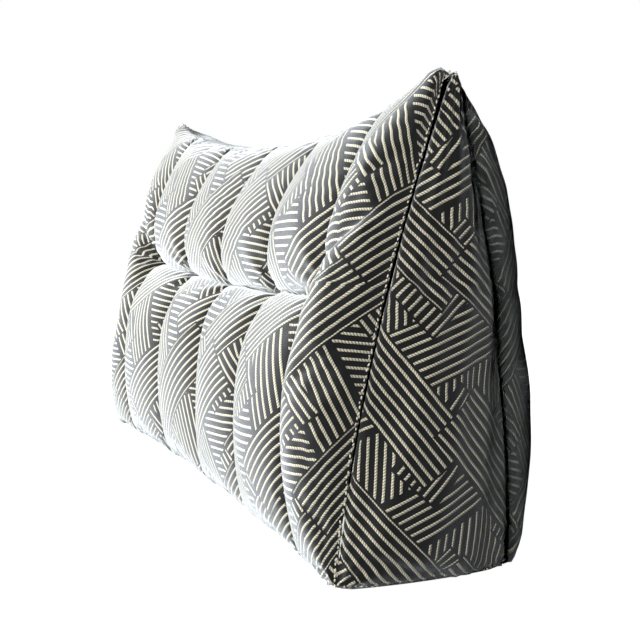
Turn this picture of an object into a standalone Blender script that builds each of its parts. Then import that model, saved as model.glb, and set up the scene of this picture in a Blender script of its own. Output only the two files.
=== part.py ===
"""A long wedge backrest cushion, one filled solid, standing on its flat base.

The cover is five panels sewn edge to edge: front, back, two triangular sides and the base.
One row of five tufts pulls the front into six columns of puffs.
Units are metres. X runs along the cushion, the front faces -Y and +Z is up.
"""
import math

import bmesh
import bpy
from mathutils import Vector

# Driving sizes
LENGTH = 0.90
HEIGHT = 0.50            # floor to the tip of an ear
BASE_DEPTH = 0.186       # between the front and rear base corners
RIDGE_SETBACK = 0.120    # the ears lie this far behind the front base corners
TOP_SAG = 0.053          # the top seam hangs this far below the ears at its middle
TOP_SEAM_DRAW = 0.005    # and lies this far behind them there

# Seams: how far the filling draws or swells each one from the straight line between its corners
SEAM_LIFT = 0.007        # the base seams sit this far above the floor
FRONT_SEAM_DRAW = 0.024
REAR_SEAM_SWELL = 0.013
SIDE_SEAM_DRAW = 0.022
SIDE_FRONT_BOW = 0.006
SIDE_REAR_BOW = 0.031
SIDE_BASE_SWELL = 0.010
SEAM_ROUNDNESS = 0.8
TOP_ROUNDNESS = 0.7

# Crowns: how far each panel swells out of its seams
FRONT_CROWN = 0.084
BACK_CROWN = 0.071
SIDE_CROWN = 0.034
FRONT_END_SQUARENESS = 12.0
BACK_END_SQUARENESS = 11.0
FRONT_FULLNESS = (0.56, 0.50)      # exponents at the base seam and at the top seam
BACK_FULLNESS = (0.17, 0.24)
EAR_NECK = 0.026                   # reach of the flatter cloth behind the tip of an ear
SIDE_FULLNESS = 0.5
SIDE_FOOT_SHARE = 0.22             # share of the height in which the side swells out of its base seam
SIDE_HEAD_TAPER = 0.35

# Tufts and the creases that run from them
TUFTS = 5
TUFT_PITCH = 0.176
TUFT_SHARE = 0.575       # the tuft row's place on the front, as a share of its slope from the base
END_CLIMB = 0.17         # the row's crease climbs by this share from the last tuft to the side seam
TUFT_DEPTH = 0.066       # how far a tuft lies below the crown
ROW_CREASE_DEPTH = 0.050           # the same for the crease between two tufts
ROW_CREASE_REACH = 0.14            # distance from the row at which a puff is at its fullest
TUFT_PINCH = 0.02                  # width over which the row crease deepens to its tufts
CREASE_FADE = 0.6
CREASE_BLEND = 2.5
ROW_END_FADE = 1.2

# Steps of the mesh, closer together where a puff turns into its crease
STEPS_PER_COLUMN = 10
STEPS_PER_END_COLUMN = 6
STEPS_BELOW_TUFTS = 14
STEPS_ABOVE_TUFTS = 12
STEPS_ACROSS_SIDE = 8
WELD_DISTANCE = 0.00001
FLOOR_STEEPNESS = (12.0, 3.0)      # how soon the base lies flat, from its end seams and its long seams

COVER_COLOUR = (0.105, 0.105, 0.100, 1.0)
COVER_ROUGHNESS = 0.9

LEFT, RIGHT = -1, 1
SLOPE = math.hypot(HEIGHT, RIDGE_SETBACK)
TUFTS_X = [(i - (TUFTS - 1) / 2) * TUFT_PITCH for i in range(TUFTS)]


def base_front_corner(end):
    """The front base corner at one end."""
    return Vector((end * LENGTH / 2, 0.0, SEAM_LIFT))


def base_rear_corner(end):
    """The rear base corner at one end."""
    return Vector((end * LENGTH / 2, BASE_DEPTH, SEAM_LIFT))


def ear(end):
    """The tip where the front, the back and a side meet."""
    return Vector((end * LENGTH / 2, RIDGE_SETBACK, HEIGHT))


def bow(t, power=1.0):
    """A round rise from 0 to 1 and back, over t from 0 to 1."""
    return max(4 * t * (1 - t), 0.0) ** power


def skewed_bow(t, low, high):
    """A rise from 0 to 1 and back with its own steepness at each end."""
    peak = low / (low + high)
    return max(t, 0.0) ** low * max(1 - t, 0.0) ** high / (peak ** low * (1 - peak) ** high)


def squared_end(u, squareness):
    """1 along the middle of a panel, falling steeply to 0 at both ends."""
    return math.sqrt(max(1 - abs(2 * u - 1) ** squareness, 0.0))


def puff(share):
    """A quarter round, from 0 in a crease to 1 at the top of a puff."""
    share = min(max(share, 0.0), 1.0)
    return math.sqrt(max(1 - (1 - share) ** 2, 0.0))


def drawn_seam(start, end, t, shift, roundness=SEAM_ROUNDNESS):
    """A point of a seam between two corners, shifted most at its middle."""
    return start.lerp(end, t) + Vector(shift) * bow(t, roundness)


def top_seam(t):
    return drawn_seam(ear(LEFT), ear(RIGHT), t, (0, TOP_SEAM_DRAW, -TOP_SAG), TOP_ROUNDNESS)


def front_base_seam(t):
    return drawn_seam(base_front_corner(LEFT), base_front_corner(RIGHT), t, (0, FRONT_SEAM_DRAW, 0))


def rear_base_seam(t):
    return drawn_seam(base_rear_corner(LEFT), base_rear_corner(RIGHT), t, (0, REAR_SEAM_SWELL, 0))


def side_front_seam(end, t):
    shift = (-end * SIDE_SEAM_DRAW, -SIDE_FRONT_BOW, 0)
    return drawn_seam(base_front_corner(end), ear(end), t, shift)


def side_rear_seam(end, t):
    shift = (-end * SIDE_SEAM_DRAW, SIDE_REAR_BOW, 0)
    return drawn_seam(base_rear_corner(end), ear(end), t, shift)


def side_base_seam(end, t):
    return drawn_seam(base_front_corner(end), base_rear_corner(end), t, (end * SIDE_BASE_SWELL, 0, 0))


def patch(low, high, left, right, u, v):
    """A point of the smooth sheet between four seams that meet at their ends."""
    ruled = low(u).lerp(high(u), v) + left(v).lerp(right(v), u)
    return ruled - low(0).lerp(low(1), u).lerp(high(0).lerp(high(1), u), v)


def front_rise(u, v):
    """How far the front stands out of the sheet between its seams."""
    x = (u - 0.5) * LENGTH
    crown = FRONT_CROWN * squared_end(u, FRONT_END_SQUARENESS) * skewed_bow(v, *FRONT_FULLNESS)
    to_tuft = min(abs(x - tuft) for tuft in TUFTS_X)
    share = v / TUFT_SHARE if v < TUFT_SHARE else (1 - v) / (1 - TUFT_SHARE)
    column = TUFT_DEPTH * max(share, 0.0) ** CREASE_FADE * (1 - puff(to_tuft / (TUFT_PITCH / 2)))
    past_last = min(max((abs(x) - TUFTS_X[-1]) / (LENGTH / 2 - TUFTS_X[-1]), 0.0), 1.0)
    pinch = math.exp(-to_tuft / TUFT_PINCH)
    depth = ROW_CREASE_DEPTH + (TUFT_DEPTH - ROW_CREASE_DEPTH) * pinch
    depth *= (1 - past_last) ** ROW_END_FADE
    off_row = v - TUFT_SHARE - END_CLIMB * past_last
    row = depth * (1 - puff(abs(off_row) * SLOPE / ROW_CREASE_REACH))
    return crown - (column ** CREASE_BLEND + row ** CREASE_BLEND) ** (1 / CREASE_BLEND)


def front_point(u, v):
    sheet = patch(front_base_seam, top_seam, lambda t: side_front_seam(LEFT, t),
                  lambda t: side_front_seam(RIGHT, t), u, v)
    outward = Vector((0, -HEIGHT, RIDGE_SETBACK)).normalized()
    return sheet + outward * front_rise(u, v)


def neck(u, v):
    """0 at the tips of the ears, where the back holds little filling, and 1 away from them."""
    to_ear = math.hypot((0.5 - abs(u - 0.5)) * LENGTH, (1 - v) * SLOPE)
    return 1 - math.exp(-(to_ear / EAR_NECK) ** 2)


def back_point(u, v):
    sheet = patch(rear_base_seam, top_seam, lambda t: side_rear_seam(LEFT, t),
                  lambda t: side_rear_seam(RIGHT, t), u, v)
    outward = Vector((0, HEIGHT, BASE_DEPTH - RIDGE_SETBACK)).normalized()
    rise = BACK_CROWN * squared_end(u, BACK_END_SQUARENESS) * skewed_bow(v, *BACK_FULLNESS)
    return sheet + outward * rise * neck(u, v)


def side_point(end, s, v):
    """A point of a side: s runs from its front seam to its rear seam, v up to its ear."""
    sheet = patch(lambda t: side_base_seam(end, t), lambda t: ear(end),
                  lambda t: side_front_seam(end, t), lambda t: side_rear_seam(end, t), s, v)
    foot = puff(v / SIDE_FOOT_SHARE)
    rise = SIDE_CROWN * bow(s, SIDE_FULLNESS) * foot * max(1 - v, 0.0) ** SIDE_HEAD_TAPER
    return sheet + Vector((end * rise, 0, 0))


def base_point(u, s):
    """A point of the base, which lies flat on the floor inside its seams."""
    sheet = patch(front_base_seam, rear_base_seam, lambda t: side_base_seam(LEFT, t),
                  lambda t: side_base_seam(RIGHT, t), u, s)
    end_steepness, edge_steepness = FLOOR_STEEPNESS
    lowered = min(bow(u) * end_steepness, 1.0) * min(bow(s) * edge_steepness, 1.0)
    sheet.z *= 1 - lowered
    return sheet


def eased(start, end, steps):
    """Shares from start to end that lie closer together at both ends, without the last one."""
    return [start + (end - start) * (1 - math.cos(math.pi * i / steps)) / 2 for i in range(steps)]


def shares_along_length():
    """Steps along the cushion, a set for each column of puffs."""
    tufts = [0.5 + x / LENGTH for x in TUFTS_X]
    shares = eased(0.0, tufts[0], STEPS_PER_END_COLUMN)
    for tuft, following in zip(tufts, tufts[1:]):
        shares += eased(tuft, following, STEPS_PER_COLUMN)
    return shares + eased(tufts[-1], 1.0, STEPS_PER_END_COLUMN) + [1.0]


def shares_up_the_slope():
    """Steps from the base to the top, a set below the tufts and one above."""
    below = eased(0.0, TUFT_SHARE, STEPS_BELOW_TUFTS)
    return below + eased(TUFT_SHARE, 1.0, STEPS_ABOVE_TUFTS) + [1.0]


def add_panel(mesh, point, across, up):
    """Adds one panel as a grid of faces through point(a, b)."""
    grid = []
    for b in up:
        row = []
        for a in across:
            place = point(a, b)
            place.z = max(place.z, 0.0)
            row.append(mesh.verts.new(place))
        grid.append(row)
    for lower, upper in zip(grid, grid[1:]):
        for i in range(len(across) - 1):
            mesh.faces.new((lower[i], lower[i + 1], upper[i + 1], upper[i]))


def centre_over_origin(mesh):
    """Moves the mesh in Y so that its box is centred over the origin."""
    depths = [vert.co.y for vert in mesh.verts]
    middle = (min(depths) + max(depths)) / 2
    bmesh.ops.translate(mesh, vec=(0, -middle, 0), verts=mesh.verts)


def cover_material():
    """Woven charcoal and cream cloth, as one middle colour."""
    material = bpy.data.materials.new("woven_cover")
    material.use_nodes = True
    shader = material.node_tree.nodes["Principled BSDF"]
    shader.inputs["Base Color"].default_value = COVER_COLOUR
    shader.inputs["Roughness"].default_value = COVER_ROUGHNESS
    shader.inputs["Metallic"].default_value = 0.0
    return material


def build_cushion():
    """The filled cushion, its five panels welded along their seams into one closed solid."""
    along = shares_along_length()
    up = shares_up_the_slope()
    across = eased(0.0, 1.0, STEPS_ACROSS_SIDE) + [1.0]
    mesh = bmesh.new()
    add_panel(mesh, front_point, along, up)
    add_panel(mesh, back_point, along, up)
    add_panel(mesh, base_point, along, across)
    for end in (LEFT, RIGHT):
        add_panel(mesh, lambda s, v: side_point(end, s, v), across, up)
    bmesh.ops.remove_doubles(mesh, verts=mesh.verts, dist=WELD_DISTANCE)
    bmesh.ops.recalc_face_normals(mesh, faces=mesh.faces)
    centre_over_origin(mesh)
    data = bpy.data.meshes.new("cushion")
    mesh.to_mesh(data)
    mesh.free()
    data.shade_smooth()
    data.materials.append(cover_material())
    cushion = bpy.data.objects.new("cushion", data)
    bpy.context.scene.collection.objects.link(cushion)
    return cushion


def clear_scene():
    """Removes whatever the scene holds."""
    for item in list(bpy.data.objects):
        bpy.data.objects.remove(item, do_unlink=True)


clear_scene()
build_cushion()
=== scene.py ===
"""Looks of a long wedge backrest cushion covered in a corded jacquard cloth.

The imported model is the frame. Over its solid this script sews the cover's five panels as fine meshes, fills
them with a cloth simulation, pleats them at the tufts and puckers them at the seams, and stitches the seams.
Lengths are metres unless a name says millimetres.
"""
import logging
import math
from dataclasses import dataclass
from enum import Enum

import bpy
import numpy as np
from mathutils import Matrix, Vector


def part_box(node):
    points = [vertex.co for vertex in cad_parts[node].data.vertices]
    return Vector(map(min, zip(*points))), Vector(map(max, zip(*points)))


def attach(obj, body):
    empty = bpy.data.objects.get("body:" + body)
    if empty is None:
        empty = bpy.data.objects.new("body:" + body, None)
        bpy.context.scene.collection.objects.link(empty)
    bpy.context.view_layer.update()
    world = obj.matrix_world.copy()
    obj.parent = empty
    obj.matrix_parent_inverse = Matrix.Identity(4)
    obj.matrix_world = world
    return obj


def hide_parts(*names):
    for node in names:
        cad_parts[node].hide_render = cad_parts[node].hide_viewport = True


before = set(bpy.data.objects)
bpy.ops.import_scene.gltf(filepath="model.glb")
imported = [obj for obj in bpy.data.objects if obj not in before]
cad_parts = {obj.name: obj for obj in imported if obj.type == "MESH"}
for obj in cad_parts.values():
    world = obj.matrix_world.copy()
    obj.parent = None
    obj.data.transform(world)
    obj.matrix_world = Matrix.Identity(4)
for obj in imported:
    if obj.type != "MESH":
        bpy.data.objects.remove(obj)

IMAGE_PIXELS = 640
SENSOR_MM = 36.0
WELD = 0.00001
MM = 0.001

log = logging.getLogger("backrest cushion")


class End(Enum):
    """The two ends of the cushion, by the sign of their X."""

    LEFT = -1
    RIGHT = 1


class Panel(Enum):
    """The cut pieces of the cover, and whether their faces wind the other way round."""

    FRONT = ("front", False)
    BACK = ("back", True)
    LEFT_SIDE = ("left_side", True)
    RIGHT_SIDE = ("right_side", False)
    BASE = ("base", True)

    @property
    def reversed_faces(self) -> bool:
        """True where a grid's faces have to be turned to point outwards."""
        return self.value[1]


def linear(hex_colour: str) -> tuple[float, float, float, float]:
    """Turns an sRGB hex colour into linear light.

    Args:
        hex_colour: Six hex digits, red, green and blue.

    Returns:
        The linear colour with an alpha of 1.
    """
    channels = [int(hex_colour[i:i + 2], 16) / 255 for i in (0, 2, 4)]
    curve = [c / 12.92 if c <= 0.04045 else ((c + 0.055) / 1.055) ** 2.4 for c in channels]
    return (*curve, 1.0)


def add_node(tree: bpy.types.NodeTree, kind: str, links: dict | None = None,
             values: dict | None = None, **settings: object) -> bpy.types.Node:
    """Adds one node with its settings, socket values and links.

    Args:
        tree: The node tree that takes the node.
        kind: The node's type name.
        links: Input name or number to the output socket that feeds it.
        values: Input name or number to its own value.
        **settings: Properties of the node itself.

    Returns:
        The new node.
    """
    node = tree.nodes.new(kind)
    for name, value in settings.items():
        setattr(node, name, value)
    for socket, value in (values or {}).items():
        node.inputs[socket].default_value = value
    for socket, source in (links or {}).items():
        tree.links.new(source, node.inputs[socket])
    return node


def fresh_material(name: str) -> tuple[bpy.types.Material, bpy.types.Node]:
    """Makes an empty node material with a Principled shader at its output.

    Args:
        name: The material's name.

    Returns:
        The material and its shader node.
    """
    material = bpy.data.materials.new(name)
    material.use_nodes = True
    tree = material.node_tree
    tree.nodes.clear()
    shader = add_node(tree, "ShaderNodeBsdfPrincipled")
    add_node(tree, "ShaderNodeOutputMaterial", links={"Surface": shader.outputs["BSDF"]})
    return material, shader


@dataclass(frozen=True)
class Band:
    """One patch of parallel cords in the cloth's repeat, in millimetres and degrees."""

    x: float
    y: float
    angle: float
    half_length: float
    half_width: float


@dataclass(frozen=True)
class CordedJacquard:
    """Cotton and polyester jacquard, woven: a matt charcoal ground with raised, twisted cream cords.

    The cords stand proud, so they catch the light as ropes of small strands, and the ground between them
    stays dark until the light grazes its nap. The layout of the bands is this cushion's own, charted one by one.
    """

    ground_dark: str = "080808"
    ground_light: str = "141414"
    # The cords' cream is painted darker in the dips between strands and lighter on their tops: painted shade and
    # painted highlight over the cream itself
    cord_cream_in_painted_shade: str = "8C856C"
    cord_cream_with_painted_highlight: str = "E2DCC8"
    repeat_mm: tuple[float, float] = (320.0, 254.1)
    cord_pitch_mm: float = 8.47
    cord_width_mm: float = 2.6
    band_gap_mm: float = 2.4
    strand_pitch_mm: float = 2.9
    strand_lean: float = 2.0
    cord_rise_mm: float = 0.8
    # The ground's threads are 0.5 mm apart, drawn at 1.3 mm so that they show at all
    thread_mm: float = 1.3
    thread_rise_mm: float = 0.10
    edge_softness_mm: float = 0.35
    roughness: float = 0.82
    sheen: float = 1.0
    sheen_roughness: float = 0.44
    bands: tuple[Band, ...] = (
        Band(26, 57, -63, 56, 30), Band(188, 67, -69, 60, 34), Band(108, 187, -58, 58, 30),
        Band(266, 194, -66, 58, 30), Band(124, 63, -47, 52, 34), Band(286, 67, -40, 54, 30),
        Band(206, 198, -52, 50, 30), Band(44, 192, -44, 54, 34), Band(76, 14, 47, 88, 32),
        Band(236, 10, 40, 92, 34), Band(316, 135, 43, 86, 36), Band(156, 142, 50, 88, 32),
    )

    def chart(self, tree: bpy.types.NodeTree, cloth: bpy.types.NodeSocket) -> bpy.types.NodeSocket:
        """Lays the bands over each other, the later ones on top.

        Args:
            tree: The material's node tree.
            cloth: The place on the flat cloth, in metres.

        Returns:
            A vector: the place along the cords, the place across them, and the depth inside the band.
        """
        half_x, half_y = (side * MM / 2 for side in self.repeat_mm)
        ground = add_node(tree, "ShaderNodeVectorMath", links={0: cloth}, operation="MULTIPLY_ADD",
                          values={1: (1, 1, 0), 2: (0, 0, self.repeat_mm[0] * MM)})
        chosen = ground.outputs[0]
        for band in self.bands:
            x, y = band.x * MM, band.y * MM
            near = add_node(tree, "ShaderNodeVectorMath", links={0: cloth}, operation="WRAP",
                            values={1: (x + half_x, y + half_y, 1), 2: (x - half_x, y - half_y, -1)})
            turned = add_node(tree, "ShaderNodeMapping", links={"Vector": near.outputs[0]},
                              values={"Location": (x, y, 0), "Rotation": (0, 0, math.radians(band.angle))},
                              vector_type="TEXTURE")
            size = add_node(tree, "ShaderNodeVectorMath", links={0: turned.outputs[0]}, operation="ABSOLUTE")
            inside = add_node(tree, "ShaderNodeVectorMath", links={1: size.outputs[0]}, operation="SUBTRACT",
                              values={0: (band.half_length * MM, band.half_width * MM, 0)})
            room = add_node(tree, "ShaderNodeSeparateXYZ", links={0: inside.outputs[0]})
            depth = add_node(tree, "ShaderNodeMath", links={0: room.outputs[0], 1: room.outputs[1]},
                             operation="MINIMUM")
            place = add_node(tree, "ShaderNodeSeparateXYZ", links={0: turned.outputs[0]})
            here = add_node(tree, "ShaderNodeCombineXYZ",
                            links={0: place.outputs[0], 1: place.outputs[1], 2: depth.outputs[0]})
            on_top = add_node(tree, "ShaderNodeMath", links={0: depth.outputs[0]}, values={1: 0.0},
                              operation="GREATER_THAN")
            pick = add_node(tree, "ShaderNodeMix", data_type="VECTOR",
                            links={"Factor": on_top.outputs[0], 4: chosen, 5: here.outputs[0]})
            chosen = pick.outputs[1]
        return chosen

    def material(self, name: str) -> bpy.types.Material:
        """Builds the woven cloth's material.

        Args:
            name: The material's name.

        Returns:
            The material, drawn on the UV map "cloth".
        """
        material, shader = fresh_material(name)
        tree = material.node_tree
        cloth = add_node(tree, "ShaderNodeUVMap", uv_map="cloth").outputs[0]
        place = add_node(tree, "ShaderNodeSeparateXYZ", links={0: self.chart(tree, cloth)})
        along, across, depth = place.outputs
        lines = add_node(tree, "ShaderNodeMath", links={0: across}, operation="DIVIDE",
                         values={1: self.cord_pitch_mm * MM})
        share = add_node(tree, "ShaderNodeMath", links={0: lines.outputs[0]}, operation="FRACT")
        centred = add_node(tree, "ShaderNodeMath", links={0: share.outputs[0]}, operation="SUBTRACT",
                           values={1: 0.5})
        off = add_node(tree, "ShaderNodeMath", links={0: centred.outputs[0]}, operation="ABSOLUTE")
        half_cord = self.cord_width_mm / self.cord_pitch_mm / 2
        soft = self.edge_softness_mm / self.cord_pitch_mm / 2
        on_line = add_node(tree, "ShaderNodeMapRange", links={"Value": off.outputs[0]},
                           values={"From Min": half_cord + soft, "From Max": half_cord - soft})
        gap, blur = self.band_gap_mm * MM, self.edge_softness_mm * MM
        in_band = add_node(tree, "ShaderNodeMapRange", links={"Value": depth},
                           values={"From Min": gap - blur, "From Max": gap + blur})
        cord = add_node(tree, "ShaderNodeMath", operation="MULTIPLY",
                        links={0: on_line.outputs[0], 1: in_band.outputs[0]})
        # The strands cross a cord aslant, so the wave runs along the cord and leans across it
        turns = add_node(tree, "ShaderNodeMath", links={0: along}, operation="MULTIPLY",
                         values={1: math.tau / (self.strand_pitch_mm * MM)})
        leaning = add_node(tree, "ShaderNodeMath", operation="MULTIPLY_ADD", values={1: math.tau * self.strand_lean},
                           links={0: centred.outputs[0], 2: turns.outputs[0]})
        wave = add_node(tree, "ShaderNodeMath", links={0: leaning.outputs[0]}, operation="SINE")
        strand = add_node(tree, "ShaderNodeMapRange", links={"Value": wave.outputs[0]},
                          values={"From Min": -0.9, "From Max": 0.6})
        fibres = add_node(tree, "ShaderNodeTexNoise", links={"Vector": cloth},
                          values={"Scale": 1 / (self.thread_mm * MM), "Detail": 3.0})
        # Painted shade between the strands and painted highlight on their tops, along the same wave that the relief
        # raises
        cream = add_node(tree, "ShaderNodeMix", data_type="RGBA", links={"Factor": strand.outputs[0]},
                         values={6: linear(self.cord_cream_in_painted_shade), 7: linear(self.cord_cream_with_painted_highlight)})
        charcoal = add_node(tree, "ShaderNodeMix", data_type="RGBA", links={"Factor": fibres.outputs[0]},
                            values={6: linear(self.ground_dark), 7: linear(self.ground_light)})
        colour = add_node(tree, "ShaderNodeMix", data_type="RGBA",
                          links={"Factor": cord.outputs[0], 6: charcoal.outputs[2], 7: cream.outputs[2]})
        tree.links.new(colour.outputs[2], shader.inputs["Base Color"])
        tree.links.new(self.relief(tree, cloth, cord.outputs[0], off.outputs[0], strand.outputs[0]),
                       shader.inputs["Normal"])
        shader.inputs["Roughness"].default_value = self.roughness
        shader.inputs["Specular IOR Level"].default_value = 0.2
        shader.inputs["Sheen Weight"].default_value = self.sheen
        shader.inputs["Sheen Roughness"].default_value = self.sheen_roughness
        shader.inputs["Sheen Tint"].default_value = linear("F0F8FF")
        return material

    def relief(self, tree: bpy.types.NodeTree, cloth: bpy.types.NodeSocket, cord: bpy.types.NodeSocket,
               off: bpy.types.NodeSocket, strand: bpy.types.NodeSocket) -> bpy.types.NodeSocket:
        """Raises the cords and the ground's threads.

        Args:
            tree: The material's node tree.
            cloth: The place on the flat cloth, in metres.
            cord: 1 on a cord and 0 off it.
            off: The distance from a cord's middle, in pitches.
            strand: 1 on top of a strand and 0 between two.

        Returns:
            The bumped normal.
        """
        half_cord = self.cord_width_mm / self.cord_pitch_mm / 2
        rounded = add_node(tree, "ShaderNodeMapRange", links={"Value": off}, interpolation_type="SMOOTHSTEP",
                           values={"From Min": half_cord * 1.1, "From Max": 0.0})
        strand_rise = add_node(tree, "ShaderNodeMath", links={0: strand}, operation="MULTIPLY_ADD",
                               values={1: 0.4, 2: 0.6})
        body = add_node(tree, "ShaderNodeMath", operation="MULTIPLY",
                        links={0: rounded.outputs[0], 1: strand_rise.outputs[0]})
        raised = add_node(tree, "ShaderNodeMath", operation="MULTIPLY", links={0: body.outputs[0], 1: cord})
        threads = add_node(tree, "ShaderNodeVectorMath", links={0: cloth}, operation="SCALE",
                           values={3: math.tau / (self.thread_mm * MM)})
        warp_weft = add_node(tree, "ShaderNodeVectorMath", links={0: threads.outputs[0]}, operation="SINE")
        crossing = add_node(tree, "ShaderNodeSeparateXYZ", links={0: warp_weft.outputs[0]})
        weave = add_node(tree, "ShaderNodeMath", operation="MULTIPLY",
                         links={0: crossing.outputs[0], 1: crossing.outputs[1]})
        weave_rise = add_node(tree, "ShaderNodeMath", links={0: weave.outputs[0]}, operation="MULTIPLY",
                              values={1: self.thread_rise_mm * MM})
        height = add_node(tree, "ShaderNodeMath", operation="MULTIPLY_ADD",
                          values={1: self.cord_rise_mm * MM},
                          links={0: raised.outputs[0], 2: weave_rise.outputs[0]})
        bump = add_node(tree, "ShaderNodeBump", links={"Height": height.outputs[0]},
                        values={"Strength": 1.0, "Distance": 1.0})
        return bump.outputs[0]


@dataclass(frozen=True)
class PolyesterThread:
    """Spun polyester sewing thread, twisted: slightly shiny, pale beads that dot the dark seams."""

    colour: str = "EDE7D4"
    roughness: float = 0.55

    def material(self, name: str) -> bpy.types.Material:
        """Builds the thread's material.

        Args:
            name: The material's name.

        Returns:
            The material, with a fine twist in its relief.
        """
        material, shader = fresh_material(name)
        tree = material.node_tree
        place = add_node(tree, "ShaderNodeTexCoord").outputs["Object"]
        twist = add_node(tree, "ShaderNodeTexNoise", links={"Vector": place}, values={"Scale": 1800.0})
        bump = add_node(tree, "ShaderNodeBump", links={"Height": twist.outputs[0]},
                        values={"Strength": 0.4, "Distance": 0.0002})
        tree.links.new(bump.outputs[0], shader.inputs["Normal"])
        shader.inputs["Base Color"].default_value = linear(self.colour)
        shader.inputs["Roughness"].default_value = self.roughness
        return material


def bow(t: np.ndarray, power: float = 1.0) -> np.ndarray:
    """A round rise from 0 to 1 and back, over t from 0 to 1."""
    return np.clip(4 * t * (1 - t), 0, None) ** power


def skewed_bow(t: np.ndarray, low: float, high: float) -> np.ndarray:
    """A rise from 0 to 1 and back with its own steepness at each end."""
    peak = low / (low + high)
    return np.clip(t, 0, 1) ** low * np.clip(1 - t, 0, 1) ** high / (peak ** low * (1 - peak) ** high)


def squared_end(u: np.ndarray, squareness: float) -> np.ndarray:
    """1 along the middle of a panel, falling steeply to 0 at both ends."""
    return np.sqrt(np.clip(1 - np.abs(2 * u - 1) ** squareness, 0, None))


def puff(share: np.ndarray) -> np.ndarray:
    """A quarter round, from 0 in a crease to 1 at the top of a puff."""
    return np.sqrt(np.clip(1 - (1 - np.clip(share, 0, 1)) ** 2, 0, None))


def patch(low: np.ndarray, high: np.ndarray, left: np.ndarray, right: np.ndarray,
          u: np.ndarray, v: np.ndarray) -> np.ndarray:
    """The smooth sheet between four seams that meet at their ends.

    Args:
        low: Points of the lower seam at the shares u.
        high: Points of the upper seam at the shares u.
        left: Points of the left seam at the shares v.
        right: Points of the right seam at the shares v.
        u: Shares from left to right.
        v: Shares from low to high.

    Returns:
        The sheet's points, a row for each v and a column for each u.
    """
    across, up = u[None, :, None], v[:, None, None]
    ruled = (1 - up) * low[None] + up * high[None] + (1 - across) * left[:, None] + across * right[:, None]
    low_line = (1 - across) * low[0] + across * low[-1]
    high_line = (1 - across) * high[0] + across * high[-1]
    return ruled - (1 - up) * low_line - up * high_line


def eased(start: float, end: float, steps: int, ease: float) -> np.ndarray:
    """Shares from start to end that lie closer together at both ends, without the last one.

    Args:
        start: The first share.
        end: The share that the run stops short of.
        steps: How many shares there are.
        ease: 0 for even steps, 1 for the closest ends.

    Returns:
        The shares in order.
    """
    even = np.arange(steps) / steps
    crowded = (1 - np.cos(math.pi * even)) / 2
    return start + (end - start) * (even * (1 - ease) + crowded * ease)


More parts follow.
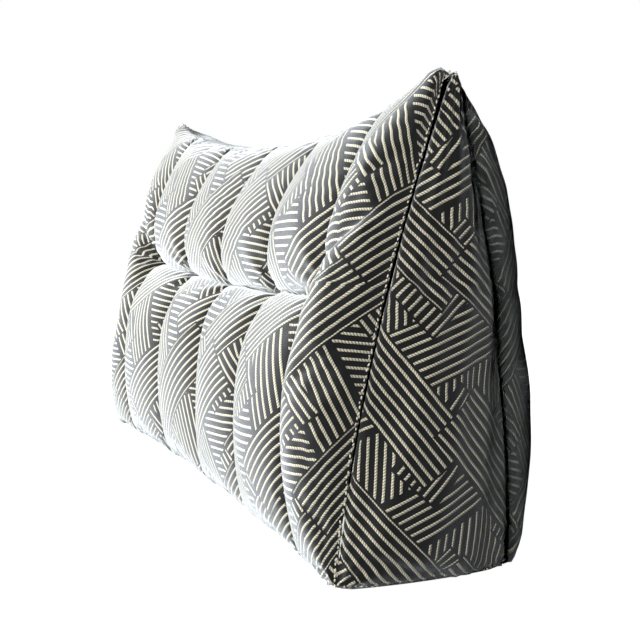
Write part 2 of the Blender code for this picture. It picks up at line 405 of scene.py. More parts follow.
@dataclass(frozen=True)
class WedgePlan:
    """The maker's plan: corners, seams and how far the filling swells each panel."""

    length: float = 0.90
    height: float = 0.50
    base_depth: float = 0.186
    ridge_setback: float = 0.120
    top_sag: float = 0.053
    top_seam_draw: float = 0.005
    seam_lift: float = 0.007
    front_seam_draw: float = 0.024
    rear_seam_swell: float = 0.013
    side_seam_draw: float = 0.022
    side_front_bow: float = 0.006
    side_rear_bow: float = 0.031
    side_base_swell: float = 0.010
    seam_roundness: float = 0.8
    top_roundness: float = 0.7
    front_crown: float = 0.079
    back_crown: float = 0.067
    side_crown: float = 0.029
    front_end_squareness: float = 12.0
    back_end_squareness: float = 11.0
    front_fullness: tuple[float, float] = (0.56, 0.50)
    back_fullness: tuple[float, float] = (0.17, 0.24)
    side_fullness: float = 0.5
    side_foot_share: float = 0.22
    side_head_taper: float = 0.35
    ear_neck: float = 0.026
    columns: int = 6
    pitch: float = 0.176
    tuft_share: float = 0.575
    end_climb: float = 0.17
    tuft_depth: float = 0.066
    row_crease_depth: float = 0.050
    row_crease_reach: float = 0.14
    tuft_pinch: float = 0.02
    crease_fade: float = 0.6
    crease_blend: float = 2.5
    row_end_fade: float = 1.2
    floor_steepness: tuple[float, float] = (12.0, 3.0)

    @property
    def slope(self) -> float:
        """The straight distance up the front from base seam to top seam."""
        return math.hypot(self.height, self.ridge_setback)

    @property
    def tufts_x(self) -> np.ndarray:
        """The tufts' places along the cushion."""
        return (np.arange(1, self.columns) - self.columns / 2) * self.pitch

    @property
    def column_shares(self) -> np.ndarray:
        """The shares of the length at which the columns of puffs meet, both ends included."""
        return np.concatenate([[0.0], 0.5 + self.tufts_x / self.length, [1.0]])

    def front_corner(self, end: End) -> np.ndarray:
        """The front base corner at one end."""
        return np.array((end.value * self.length / 2, 0.0, self.seam_lift))

    def rear_corner(self, end: End) -> np.ndarray:
        """The rear base corner at one end."""
        return np.array((end.value * self.length / 2, self.base_depth, self.seam_lift))

    def ear(self, end: End) -> np.ndarray:
        """The tip where the front, the back and a side meet."""
        return np.array((end.value * self.length / 2, self.ridge_setback, self.height))

    def drawn(self, start: np.ndarray, end: np.ndarray, t: np.ndarray,
              shift: tuple[float, float, float], roundness: float | None = None) -> np.ndarray:
        """A seam between two corners, shifted most at its middle.

        Args:
            start: The corner it starts from.
            end: The corner it ends at.
            t: Shares along it.
            shift: The shift at its middle.
            roundness: The exponent of the shift's curve, or None for the plan's own.

        Returns:
            A point for each share.
        """
        curve = bow(t, self.seam_roundness if roundness is None else roundness)
        return start + (end - start) * t[:, None] + curve[:, None] * np.array(shift)

    def top_seam(self, t: np.ndarray) -> np.ndarray:
        """The seam between the ears."""
        shift = (0, self.top_seam_draw, -self.top_sag)
        return self.drawn(self.ear(End.LEFT), self.ear(End.RIGHT), t, shift, self.top_roundness)

    def front_base_seam(self, t: np.ndarray) -> np.ndarray:
        """The seam between front and base."""
        ends = self.front_corner(End.LEFT), self.front_corner(End.RIGHT)
        return self.drawn(*ends, t, (0, self.front_seam_draw, 0))

    def rear_base_seam(self, t: np.ndarray) -> np.ndarray:
        """The seam between back and base."""
        ends = self.rear_corner(End.LEFT), self.rear_corner(End.RIGHT)
        return self.drawn(*ends, t, (0, self.rear_seam_swell, 0))

    def side_front_seam(self, end: End, t: np.ndarray) -> np.ndarray:
        """The seam between front and side, from base to ear."""
        shift = (-end.value * self.side_seam_draw, -self.side_front_bow, 0)
        return self.drawn(self.front_corner(end), self.ear(end), t, shift)

    def side_rear_seam(self, end: End, t: np.ndarray) -> np.ndarray:
        """The seam between back and side, from base to ear."""
        shift = (-end.value * self.side_seam_draw, self.side_rear_bow, 0)
        return self.drawn(self.rear_corner(end), self.ear(end), t, shift)

    def side_base_seam(self, end: End, t: np.ndarray) -> np.ndarray:
        """The seam between side and base, from front to rear."""
        shift = (end.value * self.side_base_swell, 0, 0)
        return self.drawn(self.front_corner(end), self.rear_corner(end), t, shift)

    def neck(self, across: np.ndarray, up: np.ndarray) -> np.ndarray:
        """0 at the tips of the ears, where the back holds little filling, and 1 away from them."""
        beside = (0.5 - np.abs(across - 0.5)) * self.length
        return 1 - np.exp(-(beside ** 2 + ((1 - up) * self.slope) ** 2) / self.ear_neck ** 2)

    def front_rise(self, u: np.ndarray, v: np.ndarray) -> np.ndarray:
        """How far the front stands out of the sheet between its seams.

        Args:
            u: Shares along the cushion.
            v: Shares up the slope.

        Returns:
            The rise, a row for each v and a column for each u.
        """
        across, up = np.meshgrid(u, v)
        x = (across - 0.5) * self.length
        crown = (self.front_crown * squared_end(across, self.front_end_squareness)
                 * skewed_bow(up, *self.front_fullness))
        to_tuft = np.abs(x[..., None] - self.tufts_x).min(axis=-1)
        share = np.where(up < self.tuft_share, up / self.tuft_share, (1 - up) / (1 - self.tuft_share))
        column = (self.tuft_depth * np.clip(share, 0, None) ** self.crease_fade
                  * (1 - puff(to_tuft / (self.pitch / 2))))
        last = self.tufts_x[-1]
        past_last = np.clip((np.abs(x) - last) / (self.length / 2 - last), 0, 1)
        pinch = np.exp(-to_tuft / self.tuft_pinch)
        depth = self.row_crease_depth + (self.tuft_depth - self.row_crease_depth) * pinch
        depth = depth * (1 - past_last) ** self.row_end_fade
        off_row = up - self.tuft_share - self.end_climb * past_last
        row = depth * (1 - puff(np.abs(off_row) * self.slope / self.row_crease_reach))
        blend = self.crease_blend
        return crown - (column ** blend + row ** blend) ** (1 / blend)

    def front(self, u: np.ndarray, v: np.ndarray) -> np.ndarray:
        """The tufted front's points, a row for each v and a column for each u."""
        sheet = patch(self.front_base_seam(u), self.top_seam(u), self.side_front_seam(End.LEFT, v),
                      self.side_front_seam(End.RIGHT, v), u, v)
        outward = np.array((0, -self.height, self.ridge_setback)) / self.slope
        return sheet + self.front_rise(u, v)[..., None] * outward

    def back(self, u: np.ndarray, v: np.ndarray) -> np.ndarray:
        """The crowned back's points, a row for each v and a column for each u."""
        sheet = patch(self.rear_base_seam(u), self.top_seam(u), self.side_rear_seam(End.LEFT, v),
                      self.side_rear_seam(End.RIGHT, v), u, v)
        outward = np.array((0, self.height, self.base_depth - self.ridge_setback))
        outward /= np.linalg.norm(outward)
        across, up = np.meshgrid(u, v)
        rise = (self.back_crown * squared_end(across, self.back_end_squareness)
                * skewed_bow(up, *self.back_fullness) * self.neck(across, up))
        return sheet + rise[..., None] * outward

    def side(self, end: End, s: np.ndarray, v: np.ndarray) -> np.ndarray:
        """A triangular side's points.

        Args:
            end: Which end of the cushion.
            s: Shares from the front seam to the rear seam.
            v: Shares from the base to the ear.

        Returns:
            The points, a row for each v and a column for each s.
        """
        tip = np.repeat(self.ear(end)[None], len(s), axis=0)
        sheet = patch(self.side_base_seam(end, s), tip, self.side_front_seam(end, v),
                      self.side_rear_seam(end, v), s, v)
        across, up = np.meshgrid(s, v)
        taper = np.clip(1 - up, 0, None) ** self.side_head_taper
        rise = self.side_crown * bow(across, self.side_fullness) * puff(up / self.side_foot_share) * taper
        return sheet + rise[..., None] * np.array((end.value, 0, 0))

    def base(self, u: np.ndarray, s: np.ndarray) -> np.ndarray:
        """The base's points, flat on the floor inside its seams, a row for each s."""
        sheet = patch(self.front_base_seam(u), self.rear_base_seam(u), self.side_base_seam(End.LEFT, s),
                      self.side_base_seam(End.RIGHT, s), u, s)
        across, deep = np.meshgrid(u, s)
        end_steepness, edge_steepness = self.floor_steepness
        lowered = np.clip(bow(across) * end_steepness, 0, 1) * np.clip(bow(deep) * edge_steepness, 0, 1)
        sheet[..., 2] *= 1 - lowered
        return sheet


@dataclass(frozen=True)
class Edges:
    """Lengths of cloth from each point of a panel to its seams."""

    left: np.ndarray
    right: np.ndarray
    foot: np.ndarray
    head: np.ndarray

    @property
    def side(self) -> np.ndarray:
        """The length to the nearer of the left and right seams."""
        return np.minimum(self.left, self.right)

    @property
    def nearest(self) -> np.ndarray:
        """The length to the nearest seam."""
        return np.minimum(self.side, np.minimum(self.foot, self.head))


@dataclass
class PanelGrid:
    """One panel of the cover as a grid of points, with its place on the flat cloth."""

    panel: Panel
    across: np.ndarray
    up: np.ndarray
    points: np.ndarray

    def normals(self) -> np.ndarray:
        """The outward direction at each point."""
        flow = np.cross(np.gradient(self.points, axis=1), np.gradient(self.points, axis=0))
        flow /= np.linalg.norm(flow, axis=-1, keepdims=True) + 1e-12
        return -flow if self.panel.reversed_faces else flow

    def lengths(self, axis: int) -> np.ndarray:
        """The length of cloth from the grid's first row or column to each point."""
        steps = np.linalg.norm(np.diff(self.points, axis=axis), axis=-1)
        start = np.zeros_like(np.take(steps, [0], axis=axis))
        return np.concatenate([start, np.cumsum(steps, axis=axis)], axis=axis)

    def edges(self) -> Edges:
        """The lengths of cloth from each point to the panel's four seams."""
        wide, tall = self.lengths(1), self.lengths(0)
        return Edges(wide, wide[:, -1:] - wide, tall, tall[-1:] - tall)


def measured_shares(lengths: np.ndarray, axis: int, knots: list[int]) -> np.ndarray:
    """Cloth lengths evened out between knots, so that every row passes each knot at one length.

    Args:
        lengths: Running cloth lengths from PanelGrid.lengths.
        axis: The axis along which they run.
        knots: Indices of the rows or columns that the tufts hold, first and last included.

    Returns:
        The place of each point on the flat cloth along that axis, in metres.
    """
    runs = np.moveaxis(lengths, axis, 0)
    flat = np.zeros_like(runs)
    done = 0.0
    for first, last in zip(knots, knots[1:]):
        span = runs[last] - runs[first]
        size = span.mean()
        share = (runs[first:last + 1] - runs[first]) / np.maximum(span, 1e-9)
        flat[first:last + 1] = done + share * size
        done += size
    return np.moveaxis(flat, 0, axis)


@dataclass
class SewnCover:
    """The welded cover: its points and faces, and which point each grid place became."""

    points: np.ndarray
    faces: list[list[int]]
    corners: np.ndarray
    owners: dict[Panel, np.ndarray]

    def mesh(self, name: str) -> bpy.types.Mesh:
        """Makes a smooth mesh with the UV map "cloth".

        Args:
            name: The mesh's name.

        Returns:
            The mesh.
        """
        mesh = bpy.data.meshes.new(name)
        mesh.from_pydata(self.points.tolist(), [], self.faces)
        mesh.uv_layers.new(name="cloth").data.foreach_set("uv", self.corners.ravel())
        mesh.shade_smooth()
        mesh.update()
        return mesh


@dataclass(frozen=True)
class FibreFilling:
    """Loose fibre filling, which presses the cover out between its seams and tufts.

    The cover is simulated as cloth under pressure, without gravity, and held at its seams and tufts.
    """

    pressure: float = 4.0
    slack: float = 0.02
    last_frame: int = 20
    cap: float = 0.014
    mass: float = 0.3
    stiffness: float = 15.0
    bending: float = 0.4
    tuft_hold: float = 0.012
    crease_hold: float = 0.35

    def held(self, plan: WedgePlan, grid: PanelGrid) -> np.ndarray:
        """How firmly each point of a panel is held, from 0 to 1.

        Args:
            plan: The cushion's plan.
            grid: The panel.

        Returns:
            A weight for each point.
        """
        hold = np.zeros(grid.points.shape[:2])
        if grid.panel is Panel.BASE:
            hold[:] = 1.0
        if grid.panel is Panel.FRONT:
            x = (grid.across - 0.5)[None, :] * plan.length
            y = (grid.up - plan.tuft_share)[:, None] * plan.slope
            nearest = np.abs(x[..., None] - plan.tufts_x).min(axis=-1)
            hold[np.hypot(nearest, y) < self.tuft_hold] = 1.0
            on_crease = (nearest < 0.004) & np.ones_like(hold, dtype=bool)
            hold[on_crease] = np.maximum(hold[on_crease], self.crease_hold)
        hold[0], hold[-1], hold[:, 0], hold[:, -1] = 1.0, 1.0, 1.0, 1.0
        return hold

    def press(self, plan: WedgePlan, sewn: SewnCover, grids: dict[Panel, PanelGrid]) -> np.ndarray:
        """Runs the cloth simulation on the sewn cover.

        Args:
            plan: The cushion's plan.
            sewn: The welded cover.
            grids: The panels it was sewn from.

        Returns:
            How far each welded point moves, capped.
        """
        scene = bpy.context.scene
        body = bpy.data.objects.new("pressed_cover", sewn.mesh("pressed_cover"))
        scene.collection.objects.link(body)
        hold = np.zeros(len(sewn.points))
        for panel, grid in grids.items():
            np.maximum.at(hold, sewn.owners[panel].ravel(), self.held(plan, grid).ravel())
        group = body.vertex_groups.new(name="held")
        for weight in np.unique(hold[hold > 0]):
            group.add(np.flatnonzero(hold == weight).tolist(), float(weight), "REPLACE")
        cloth = body.modifiers.new("filling", "CLOTH")
        settings = cloth.settings
        settings.quality, settings.mass = 6, self.mass
        settings.tension_stiffness = settings.compression_stiffness = self.stiffness
        settings.shear_stiffness = self.stiffness / 2
        settings.bending_stiffness = self.bending
        settings.use_pressure, settings.uniform_pressure_force = True, self.pressure
        settings.shrink_min = -self.slack
        settings.vertex_group_mass = "held"
        settings.effector_weights.gravity = 0
        cloth.collision_settings.use_collision = False
        cloth.point_cache.frame_start, cloth.point_cache.frame_end = 1, self.last_frame
        for number in range(1, self.last_frame + 1):
            scene.frame_set(number)
        pressed = body.evaluated_get(bpy.context.evaluated_depsgraph_get()).data
        moved = np.empty(len(sewn.points) * 3)
        pressed.vertices.foreach_get("co", moved)
        moves = moved.reshape(-1, 3) - sewn.points
        bpy.data.objects.remove(body, do_unlink=True)
        scene.frame_set(1)
        far = np.linalg.norm(moves, axis=1, keepdims=True)
        log.info("filling: points move %.1f mm on average, %.1f mm at most", far.mean() * 1000, far.max() * 1000)
        return moves * (self.cap * np.tanh(far / self.cap) / np.maximum(far, 1e-9))


def smoothed(grid: np.ndarray, passes: int) -> np.ndarray:
    """Evens out a grid of values, with its border kept.

    Args:
        grid: Values by row and column.
        passes: How often each value is averaged with its neighbours.

    Returns:
        The evened values.
    """
    grid = grid.copy()
    for _ in range(passes):
        inner = grid[1:-1, 1:-1] * 2
        beside = grid[:-2, 1:-1] + grid[2:, 1:-1] + grid[1:-1, :-2] + grid[1:-1, 2:]
        grid[1:-1, 1:-1] = (inner + beside) / 6
    return grid


def doubled(grid: np.ndarray) -> np.ndarray:
    """Refines a grid of values to twice its steps both ways, smoothly through every value.

    Args:
        grid: Values by row and column.

    Returns:
        The values with a new one between each two.
    """
    for axis in (0, 1):
        rows = np.moveaxis(grid, axis, 0)
        padded = np.concatenate([2 * rows[:1] - rows[1:2], rows, 2 * rows[-1:] - rows[-2:-1]])
        between = (9 * (padded[1:-2] + padded[2:-1]) - padded[:-3] - padded[3:]) / 16
        finer = np.empty((2 * len(rows) - 1, *rows.shape[1:]))
        finer[::2], finer[1::2] = rows, between
        grid = np.moveaxis(finer, 0, axis)
    return grid


@dataclass
class CushionCover:
    """The filled cover: five panels welded along their seams into one closed piece."""

    plan: WedgePlan
    finish: CordedJacquard
    filling: FibreFilling
    shift_y: float = 0.0
    sewn: SewnCover | None = None
    outward: np.ndarray | None = None
    # Half the steps of the finished cover: the simulation runs on these
    column_steps: int = 22
    rows_below: int = 36
    rows_above: int = 30
    side_steps: int = 20
    ease: float = 0.45
    ear_calm: float = 0.11
    pleat_depth: float = 0.0022
    pleat_reach: float = 0.045
    pleat_count: int = 11
    pucker_depth: float = 0.0016
    pucker_reach: float = 0.014
    pucker_lengths: tuple[float, float] = (0.023, 0.037)
    gather_depth: float = 0.0027
    gather_reach: float = 0.030
    gather_length: float = 0.046
    ear_gather: float = 1.2
    ear_gather_reach: float = 0.17
    ear_bluntness: float = 0.55
    ear_blunt_reach: float = 0.020
    crease_gather_depth: float = 0.0022
    crease_gather_reach: float = 0.012
    crease_gather_length: float = 0.019
    fan_depth: float = 0.0042
    fan_reach: float = 0.026
    fan_count: float = 13.0
    fold_height: float = 0.030
    fold_depth: float = 0.0035
    fold_width: float = 0.006
    seam_sink: float = 0.0026
    seam_width: float = 0.0036
    crease_sink: float = 0.0045
    crease_width: float = 0.0040
    drift: float = 0.0028
    ear_lobe: float = 0.009
    ear_lobe_reach: float = 0.045
    sway: float = 0.0045

    def shares(self, column_steps: int, below: int, above: int, side_steps: int,
               ease: float) -> tuple[np.ndarray, np.ndarray, np.ndarray]:
        """The steps of the grids along, up and across the cushion.

        Args:
            column_steps: Steps in one column of puffs.
            below: Steps from the base to the tufts.
            above: Steps from the tufts to the top.
            side_steps: Steps across a side or the base.
            ease: How closely the steps crowd at creases, from 0 to 1.

        Returns:
            Shares along the length, up the slope and across a side.
        """
        knots = self.plan.column_shares
        counts = [round(column_steps * (high - low) * self.plan.length / self.plan.pitch / 2) * 2
                  for low, high in zip(knots, knots[1:])]
        along = [eased(low, high, count, ease) for low, high, count in zip(knots, knots[1:], counts)]
        tuft = self.plan.tuft_share
        up = [eased(0, tuft, below, ease), eased(tuft, 1, above, ease), np.array([1.0])]
        side = [eased(0, 1, side_steps, ease), np.array([1.0])]
        return np.concatenate(along + [np.array([1.0])]), np.concatenate(up), np.concatenate(side)

    def grids(self, *steps: float) -> dict[Panel, PanelGrid]:
        """Every panel's grid at one fineness, in the model's own frame.

        Args:
            *steps: What shares() takes.

        Returns:
            A grid for each panel.
        """
        along, up, side = self.shares(*steps)
        plan = self.plan
        made = {
            Panel.FRONT: PanelGrid(Panel.FRONT, along, up, plan.front(along, up)),
            Panel.BACK: PanelGrid(Panel.BACK, along, up, plan.back(along, up)),
            Panel.LEFT_SIDE: PanelGrid(Panel.LEFT_SIDE, side, up, plan.side(End.LEFT, side, up)),
            Panel.RIGHT_SIDE: PanelGrid(Panel.RIGHT_SIDE, side, up, plan.side(End.RIGHT, side, up)),
            Panel.BASE: PanelGrid(Panel.BASE, along, side, plan.base(along, side)),
        }
        for grid in made.values():
            grid.points[..., 1] += self.shift_y
        return made

    def centre(self) -> None:
        """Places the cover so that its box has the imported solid's middle in Y."""
        low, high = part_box("cushion")
        probe = self.grids(10, 14, 12, 8, 1.0)
        depths = np.concatenate([grid.points[..., 1].ravel() for grid in probe.values()])
        self.shift_y = (low[1] + high[1]) / 2 - (depths.min() + depths.max()) / 2

    def dress(self, grids: dict[Panel, PanelGrid]) -> None:
        """Adds the pleats, puckers and unevenness of sewn and filled cloth.

        Args:
            grids: The panels, whose points are moved.
        """
        for panel, grid in grids.items():
            if panel is Panel.BASE:
                continue
            edges = grid.edges()
            rise = self.looseness(grid, edges) + self.corner_fans(edges)
            if panel is Panel.FRONT:
                rise += self.tuft_pleats(grid) + self.ear_lobes(edges)
            elif panel is Panel.BACK:
                rise += self.gathers(edges)
            else:
                rise += self.foot_fold(grid, edges)
            grid.points += grid.normals() * rise[..., None]
            if panel is Panel.FRONT:
                across, up = np.meshgrid(grid.across, grid.up)
                free = np.clip(edges.nearest / 0.05, 0, 1) * np.clip(edges.side / 0.10, 0, 1)
                grid.points[..., 0] += self.sway * free * uneven(across * 11.3, up * 7.9, Panel.BACK)

    def looseness(self, grid: PanelGrid, edges: Edges) -> np.ndarray:
        """The slow unevenness of a panel and the fine puckers beside its seams.

        Args:
            grid: The panel.
            edges: Its distances to its seams.

        Returns:
            The rise of each point.
        """
        across, up = np.meshgrid(grid.across, grid.up)
        near = edges.nearest
        slow = self.drift * np.clip(near / 0.02, 0, 1) * uneven(across * 9.1, up * 5.3, grid.panel)
        run = np.where(edges.side < np.minimum(edges.foot, edges.head), edges.foot, edges.left)
        first, second = self.pucker_lengths
        ripple = np.sin(math.tau * run / first + 2.1 * np.sin(run * 31)) * np.sin(math.tau * run / second)
        calm = np.clip(edges.head / 0.035, 0.15, 1)
        return slow + self.pucker_depth * ripple * calm * fall(near, self.pucker_reach)

    def corner_fans(self, edges: Edges) -> np.ndarray:
        """Pleats that fan out from the panel's lower corners, where the seams bunch the cloth.

        Args:
            edges: The panel's distances to its seams.

        Returns:
            The rise of each point.
        """
        reach = np.hypot(edges.side, edges.foot)
        turn = np.arctan2(edges.foot, edges.side + 1e-9)
        fan = np.cos(self.fan_count * turn + 1.2 * np.sin(3 * turn))
        return self.fan_depth * fan * fall(reach, self.fan_reach) * np.clip(edges.nearest / 0.004, 0, 1)

    def ear_lobes(self, edges: Edges) -> np.ndarray:
        """The round swell of the front right under the tip of each ear.

        Args:
            edges: The front's distances to its seams.

        Returns:
            The rise of each point.
        """
        reach = np.hypot(edges.side, edges.head)
        return self.ear_lobe * np.exp(-(reach / self.ear_lobe_reach) ** 2) * puff(edges.nearest / 0.012)

    def tuft_pleats(self, grid: PanelGrid) -> np.ndarray:
        """Pleats that run out from each tuft, and short gathers along the creases above the tufts.

        Args:
            grid: The front.

        Returns:
            The rise of each point.
        """
        plan = self.plan
        x = (grid.across - 0.5)[None, :] * plan.length
        y = (grid.up - plan.tuft_share)[:, None] * plan.slope
        rise = np.zeros(grid.points.shape[:2])
        for i, tuft in enumerate(plan.tufts_x):
            reach, turn = np.hypot(x - tuft, y), np.arctan2(y, x - tuft)
            fold = np.cos(self.pleat_count * turn + 1.7 * i + 0.8 * np.sin(2 * turn + i))
            rise += self.pleat_depth * fold * fall(reach, self.pleat_reach)
            ripple = np.sin(math.tau * y / self.crease_gather_length + i + 1.5 * np.sin(y * 23 + 2 * i))
            above = np.clip(y / 0.05, 0, 1) * np.clip((0.21 - y) / 0.03, 0, 1)
            rise += self.crease_gather_depth * ripple * above * fall(np.abs(x - tuft), self.crease_gather_reach)
        return rise

    def gathers(self, edges: Edges) -> np.ndarray:
        """The back's soft folds beside its side seams, deepest under the ears.

        Args:
            edges: The back's distances to its seams.

        Returns:
            The rise of each point.
        """
        wave = np.sin(math.tau * edges.foot / self.gather_length + 1.3 * np.sin(edges.foot * 17))
        swell = 0.35 + (self.ear_gather + 0.65) * np.exp(-(edges.head / self.ear_gather_reach) ** 2)
        faded = fall(edges.side, self.gather_reach) * np.clip(edges.head / 0.02, 0, 1)
        return self.gather_depth * wave * swell * faded

    def foot_fold(self, grid: PanelGrid, edges: Edges) -> np.ndarray:
        """The long fold low on a side, where the filling rolls the cloth under.

        Args:
            grid: The side.
            edges: Its distances to its seams.

        Returns:
            The rise of each point.
        """
        share = grid.across[None, :]
        height = self.fold_height * (1.25 - 1.5 * share)
        along = bow(np.clip(share / 0.62, 0, 1), 0.6)
        return -self.fold_depth * along * np.exp(-((edges.foot - height) / self.fold_width) ** 2)

    def sinking(self, grids: dict[Panel, PanelGrid], sewn: SewnCover) -> np.ndarray:
        """How deep each point of the cover is drawn in beside a seam or on a crease.

        Args:
            grids: The panels.
            sewn: The welded cover.

        Returns:
            A depth for each welded point.
        """
        depth = np.zeros(len(sewn.points))
        for panel, grid in grids.items():
            edges = grid.edges()
            sunk = self.seam_sink * np.exp(-(edges.nearest / self.seam_width) ** 2)
            if panel is Panel.FRONT:
                lines = edges.left[:, [int(np.abs(grid.across - share).argmin())
                                       for share in self.plan.column_shares[1:-1]]]
                off = np.abs(edges.left[..., None] - lines[:, None, :]).min(axis=-1)
                ends = np.clip(np.minimum(edges.foot, edges.head) / 0.04, 0, 1)
                sunk = np.maximum(sunk, self.crease_sink * ends * np.exp(-(off / self.crease_width) ** 2))
            np.maximum.at(depth, sewn.owners[panel].ravel(), sunk.ravel())
        return depth

    def blunt_ears(self, sewn: SewnCover) -> None:
        """Widens the tips of the ears, where the seam allowances inside bunch up.

        Args:
            sewn: The welded cover, whose points are moved.
        """
        owners = sewn.owners[Panel.FRONT]
        for corner in (owners[-1, 0], owners[-1, -1]):
            tip = sewn.points[corner].copy()
            far = np.linalg.norm(sewn.points - tip, axis=1)
            axis = sewn.points[(far > 0.02) & (far < 0.035)].mean(axis=0) - tip
            axis /= np.linalg.norm(axis)
            offset = sewn.points - tip
            aside = offset - (offset @ axis)[:, None] * axis
            sewn.points += aside * (self.ear_bluntness * np.exp(-(far / self.ear_blunt_reach) ** 2))[:, None]

    def sew(self, grids: dict[Panel, PanelGrid]) -> SewnCover:
        """Joins the panels' grids along their shared seams.

        Args:
            grids: The panels.

        Returns:
            The welded cover.
        """
        cloud, flats, blocks, numbers, start = [], [], [], {}, 0
        for panel, grid in grids.items():
            rows, columns = grid.points.shape[:2]
            number = start + np.arange(rows * columns).reshape(rows, columns)
            quads = np.stack([number[:-1, :-1], number[:-1, 1:], number[1:, 1:], number[1:, :-1]], axis=-1)
            quads = quads.reshape(-1, 4)
            blocks.append(quads[:, ::-1] if panel.reversed_faces else quads)
            cloud.append(grid.points.reshape(-1, 3))
            flats.append(self.flat_cloth(grid).reshape(-1, 2))
            numbers[panel] = number
            start += rows * columns
        points, flat = np.concatenate(cloud), np.concatenate(flats)
        points[:, 2] = np.maximum(points[:, 2], 0.0)
        _, first, same = np.unique(np.round(points / WELD).astype(np.int64), axis=0,
                                   return_index=True, return_inverse=True)
        same = same.ravel()
        faces, corners = [], []
        for quad in np.concatenate(blocks):
            joined = same[quad].tolist()
            ring = list(dict.fromkeys(joined))
            if len(ring) < 3:
                continue
            faces.append(ring)
            corners += [flat[quad[joined.index(vertex)]] for vertex in ring]
        owners = {panel: same[number] for panel, number in numbers.items()}
        return SewnCover(points[first], faces, np.array(corners, dtype=np.float32), owners)

    def flat_cloth(self, grid: PanelGrid) -> np.ndarray:
        """Where each point of a panel lies on the flat cloth.

        Args:
            grid: The panel.

        Returns:
            Two lengths in metres for each point. The sides are cut crosswise, as their stripes show.
        """
        rows, columns = len(grid.up), len(grid.across)
        if grid.panel is Panel.FRONT:
            knots = [int(np.abs(grid.across - share).argmin()) for share in self.plan.column_shares]
            x = measured_shares(grid.lengths(1), 1, knots)
            tuft = int(np.argmin(np.abs(grid.up - self.plan.tuft_share)))
            y = measured_shares(grid.lengths(0), 0, [0, tuft, rows - 1])
            return np.stack([x, y], axis=-1)
        if grid.panel in (Panel.LEFT_SIDE, Panel.RIGHT_SIDE):
            width = grid.lengths(1)
            x = width - width[:, -1:] / 2
            y = grid.lengths(0)[:, columns // 2][:, None] + np.zeros_like(x)
            return np.stack([0.11 - y, x + 0.07], axis=-1)
        x = measured_shares(grid.lengths(1), 1, [0, columns - 1])
        y = measured_shares(grid.lengths(0), 0, [0, rows - 1])
        return np.stack([0.05 - x, y + 0.03], axis=-1)

    def fill(self, grids: dict[Panel, PanelGrid]) -> None:
        """Presses the panels out by the simulated filling.

        Args:
            grids: The panels at the finished fineness, whose points are moved.
        """
        steps = self.column_steps, self.rows_below, self.rows_above, self.side_steps
        coarse = self.grids(*steps, self.ease)
        sewn = self.sew(coarse)
        moves = self.filling.press(self.plan, sewn, coarse)
        for panel, grid in grids.items():
            if panel is Panel.BASE:
                continue
            swell = moves[sewn.owners[panel]]
            if panel is not Panel.FRONT:
                swell = smoothed(swell, 4)
            tip = np.clip(coarse[panel].edges().head / self.ear_calm, 0.15, 1)
            if panel in (Panel.FRONT, Panel.BACK):
                tip = np.maximum(tip, np.clip(coarse[panel].edges().side / self.ear_calm, 0, 1))
            grid.points += doubled(swell * tip[..., None])

    def build(self) -> bpy.types.Object:
        """Sews, fills and finishes the cover.

        Returns:
            The cover's object.
        """
        self.centre()
        steps = self.column_steps, self.rows_below, self.rows_above, self.side_steps
        grids = self.grids(*(2 * count for count in steps), self.ease)
        self.fill(grids)
        self.dress(grids)
        sewn = self.sew(grids)
        depth = self.sinking(grids, sewn)
        rough = sewn.mesh("cushion_cover")
        outward = np.empty(len(sewn.points) * 3)
        rough.vertex_normals.foreach_get("vector", outward)
        sewn.points -= outward.reshape(-1, 3) * depth[:, None]
        sewn.points[:, 2] = np.maximum(sewn.points[:, 2], 0.0)
        self.blunt_ears(sewn)
        bpy.data.meshes.remove(rough)
        mesh = sewn.mesh("cushion_cover")
        mesh.materials.append(self.finish.material("corded_jacquard"))
        cover = bpy.data.objects.new("cushion_cover", mesh)
        bpy.context.scene.collection.objects.link(cover)
        self.sewn, self.outward = sewn, outward.reshape(-1, 3)
        log.info("cover: %d points, %d faces", len(sewn.points), len(sewn.faces))
        return cover


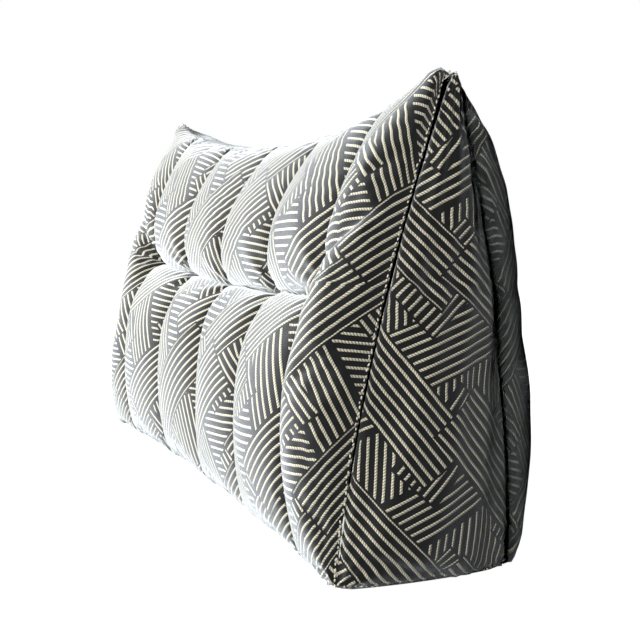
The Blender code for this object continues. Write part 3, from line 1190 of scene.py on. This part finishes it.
@dataclass
class SeamStitches:
    """The short, light stitches that show along every seam, as one mesh."""

    cover: CushionCover
    finish: PolyesterThread
    pitch: float = 0.0052
    length: float = 0.0034
    thickness: float = 0.0017
    aside: float = 0.0023
    proud: float = 0.0005
    sides: int = 6
    seed: int = 7

    def seams(self) -> list[tuple[Panel, tuple, tuple]]:
        """Each seam as a panel, the grid line on its seam and the one beside it."""
        every = slice(None)
        lines = []
        for panel in (Panel.FRONT, Panel.BACK):
            lines += [(panel, (every, 0), (every, 1)), (panel, (every, -1), (every, -2)),
                      (panel, (0, every), (1, every))]
        lines.append((Panel.FRONT, (-1, every), (-2, every)))
        lines += [(panel, (0, every), (1, every)) for panel in (Panel.LEFT_SIDE, Panel.RIGHT_SIDE)]
        return lines

    def bead(self) -> tuple[np.ndarray, list[tuple[int, ...]]]:
        """One stitch along X, round and tapered at its ends.

        Returns:
            Its points, and its faces.
        """
        turns = np.arange(self.sides) / self.sides * math.tau
        half, thick = self.length / 2, self.thickness / 2
        rings = [(-0.8, 0.62), (-0.35, 1.0), (0.35, 1.0), (0.8, 0.62)]
        points = [(-half, 0.0, 0.0)]
        for place, share in rings:
            points += [(place * half, share * thick * math.cos(t), share * thick * math.sin(t)) for t in turns]
        points.append((half, 0.0, 0.0))
        n, last = self.sides, 1 + len(rings) * self.sides
        faces = [(0, 1 + (i + 1) % n, 1 + i) for i in range(n)]
        for ring in range(len(rings) - 1):
            low, high = 1 + ring * n, 1 + (ring + 1) * n
            faces += [(low + i, low + (i + 1) % n, high + (i + 1) % n, high + i) for i in range(n)]
        faces += [(last, last - n + i, last - n + (i + 1) % n) for i in range(n)]
        return np.array(points), faces

    def row(self, panel: Panel, on_seam: tuple, beside: tuple, chance: np.random.Generator) -> np.ndarray:
        """The frames of the stitches along one seam.

        Args:
            panel: The panel that the stitches lie on.
            on_seam: The grid line on the seam.
            beside: The grid line beside it.
            chance: The seeded source of the stitches' small differences.

        Returns:
            For each stitch its place and its three axes, as rows of a 4 x 3 block.
        """
        sewn, owners = self.cover.sewn, self.cover.sewn.owners[panel]
        path, inner = sewn.points[owners[on_seam]], sewn.points[owners[beside]]
        outward = self.cover.outward[owners[on_seam]]
        run = np.concatenate([[0.0], np.cumsum(np.linalg.norm(np.diff(path, axis=0), axis=1))])
        count = int(run[-1] / self.pitch)
        at = (np.arange(count) + 0.5 + chance.uniform(-0.16, 0.16, count)) * run[-1] / count

        def along(values: np.ndarray) -> np.ndarray:
            return np.stack([np.interp(at, run, values[:, i]) for i in range(3)], axis=1)

        place, normal = along(path), along(outward)
        ahead = along(np.gradient(path, run, axis=0))
        side = along(inner) - place
        ahead += side * chance.uniform(-0.12, 0.12, (count, 1)) / 0.004
        ahead /= np.linalg.norm(ahead, axis=1, keepdims=True)
        side -= ahead * (side * ahead).sum(axis=1, keepdims=True)
        side /= np.linalg.norm(side, axis=1, keepdims=True) + 1e-12
        normal = np.cross(ahead, side) * np.sign((np.cross(ahead, side) * normal).sum(axis=1, keepdims=True))
        place = place + side * self.aside * chance.uniform(0.6, 1.3, (count, 1)) + normal * self.proud
        size = chance.uniform(0.75, 1.2, (count, 1))
        return np.stack([place, ahead * size, np.cross(normal, ahead) * size, normal * size], axis=1)

    def build(self) -> bpy.types.Object:
        """Makes the stitches of every seam.

        Returns:
            The stitches' object.
        """
        chance = np.random.default_rng(self.seed)
        frames = np.concatenate([self.row(*line, chance) for line in self.seams()])
        bead, faces = self.bead()
        points = frames[:, :1] + np.einsum("pk,nkj->npj", bead, frames[:, 1:])
        points[..., 2] = np.maximum(points[..., 2], 0.0)
        rings = [tuple(i + n * len(bead) for i in face) for n in range(len(frames)) for face in faces]
        mesh = bpy.data.meshes.new("seam_stitches")
        mesh.from_pydata(points.reshape(-1, 3).tolist(), [], rings)
        mesh.shade_smooth()
        mesh.materials.append(self.finish.material("sewing_thread"))
        stitches = bpy.data.objects.new("seam_stitches", mesh)
        bpy.context.scene.collection.objects.link(stitches)
        log.info("stitches: %d", len(frames))
        return stitches


def fall(distance: np.ndarray, reach: float) -> np.ndarray:
    """A fade that starts at 0 on a seam or tuft, is fullest close by and dies out past its reach."""
    near = distance / reach
    return np.clip(near * 3, 0, 1) * np.exp(-near)


def uneven(a: np.ndarray, b: np.ndarray, panel: Panel) -> np.ndarray:
    """A slow, smooth unevenness between -1 and 1 that differs from panel to panel.

    Args:
        a: Place across the panel.
        b: Place up the panel.
        panel: Which panel.

    Returns:
        The unevenness at each place.
    """
    phase = len(panel.value[0]) * 1.7
    waves = np.sin(a + 2.3 * np.sin(b * 0.7 + phase)) + np.sin(b * 1.9 + 1.4 * np.sin(a * 0.8 - phase))
    return (waves + np.sin(a * 2.7 - b * 2.1 + phase)) / 3


@dataclass(frozen=True)
class Softbox:
    """A round, soft lamp that points at the cushion."""

    name: str
    place: tuple[float, float, float]
    size: float
    watts: float

    def hang(self) -> None:
        """Adds the lamp to the scene."""
        data = bpy.data.lights.new(self.name, "AREA")
        data.shape, data.size, data.energy = "DISK", self.size, self.watts
        lamp = bpy.data.objects.new(self.name, data)
        lamp.location = self.place
        aim = Vector((0, 0.05, 0.22)) - Vector(self.place)
        lamp.rotation_euler = aim.to_track_quat("-Z", "Y").to_euler()
        bpy.context.scene.collection.objects.link(lamp)


@dataclass
class Studio:
    """A glowing white floor, soft lamps and the camera at the photograph's angle."""

    plan: WedgePlan
    shift_y: float
    camera_place: tuple[float, float, float] = (1.4263, -0.4250, 0.3785)
    camera_azimuth: float = 67.29
    camera_elevation: float = 6.03
    focal_pixels: float = 1151.6
    floor_radius: float = 40.0
    floor_colour: str = "9A9A98"
    floor_glow: float = 1.0
    backdrop_strength: float = 1.0
    softboxes: tuple[Softbox, ...] = (
        Softbox("key_softbox", (-1.6, -2.0, 0.8), 2.4, 350.0),
        Softbox("side_softbox", (1.9, -1.9, 1.0), 1.3, 66.0),
        Softbox("rear_softbox", (-2.8, 1.2, 1.0), 1.6, 18.0),
    )

    def build(self) -> None:
        """Sets the floor, the lamps, the world's light and the camera."""
        self.floor()
        self.light()
        self.camera()
        bpy.context.scene.view_settings.view_transform = "Standard"

    def floor(self) -> None:
        """Lays a wide, plain light table under the cushion, which hides its shadow as in the photograph."""
        material, shader = fresh_material("pale_floor")
        shader.inputs["Base Color"].default_value = linear(self.floor_colour)
        shader.inputs["Roughness"].default_value = 0.9
        shader.inputs["Specular IOR Level"].default_value = 0.1
        shader.inputs["Emission Color"].default_value = (1, 1, 1, 1)
        shader.inputs["Emission Strength"].default_value = self.floor_glow
        radius = self.floor_radius
        corners = [(-radius, -radius, 0), (radius, -radius, 0), (radius, radius, 0), (-radius, radius, 0)]
        mesh = bpy.data.meshes.new("studio_floor")
        mesh.from_pydata(corners, [], [(0, 1, 2, 3)])
        mesh.materials.append(material)
        floor = bpy.data.objects.new("studio_floor", mesh)
        floor.visible_diffuse = floor.visible_glossy = False
        bpy.context.scene.collection.objects.link(floor)

    def light(self) -> None:
        """Hangs the softboxes before a white backdrop that only the camera sees."""
        for softbox in self.softboxes:
            softbox.hang()
        world = bpy.data.worlds.new("studio_world")
        world.use_nodes = True
        backdrop = world.node_tree.nodes["Background"]
        backdrop.inputs["Color"].default_value = (1, 1, 1, 1)
        backdrop.inputs["Strength"].default_value = self.backdrop_strength
        world.cycles_visibility.diffuse = world.cycles_visibility.glossy = False
        bpy.context.scene.world = world

    def camera(self) -> None:
        """Stands the camera where the photograph was taken from."""
        data = bpy.data.cameras.new("camera")
        data.sensor_width = SENSOR_MM
        data.lens = self.focal_pixels / IMAGE_PIXELS * SENSOR_MM
        turn, tilt = math.radians(self.camera_azimuth), math.radians(self.camera_elevation)
        back = Vector((math.sin(turn) * math.cos(tilt), -math.cos(turn) * math.cos(tilt), math.sin(tilt)))
        camera = bpy.data.objects.new("camera", data)
        camera.location = Vector(self.camera_place) + Vector((0, self.shift_y, 0))
        camera.rotation_euler = (-back).to_track_quat("-Z", "Y").to_euler()
        bpy.context.scene.collection.objects.link(camera)
        bpy.context.scene.camera = camera


def main() -> None:
    """Builds the cushion's cover, its seams and the studio, in that order."""
    logging.basicConfig(level=logging.INFO, format="%(name)s: %(message)s")
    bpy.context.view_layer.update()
    plan = WedgePlan()
    cover = CushionCover(plan, CordedJacquard(), FibreFilling())
    piece = cover.build()
    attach(piece, "root")
    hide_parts("cushion")
    stitches = SeamStitches(cover, PolyesterThread()).build()
    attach(stitches, "root")
    Studio(plan, cover.shift_y).build()


if __name__ == "__main__":
    main()
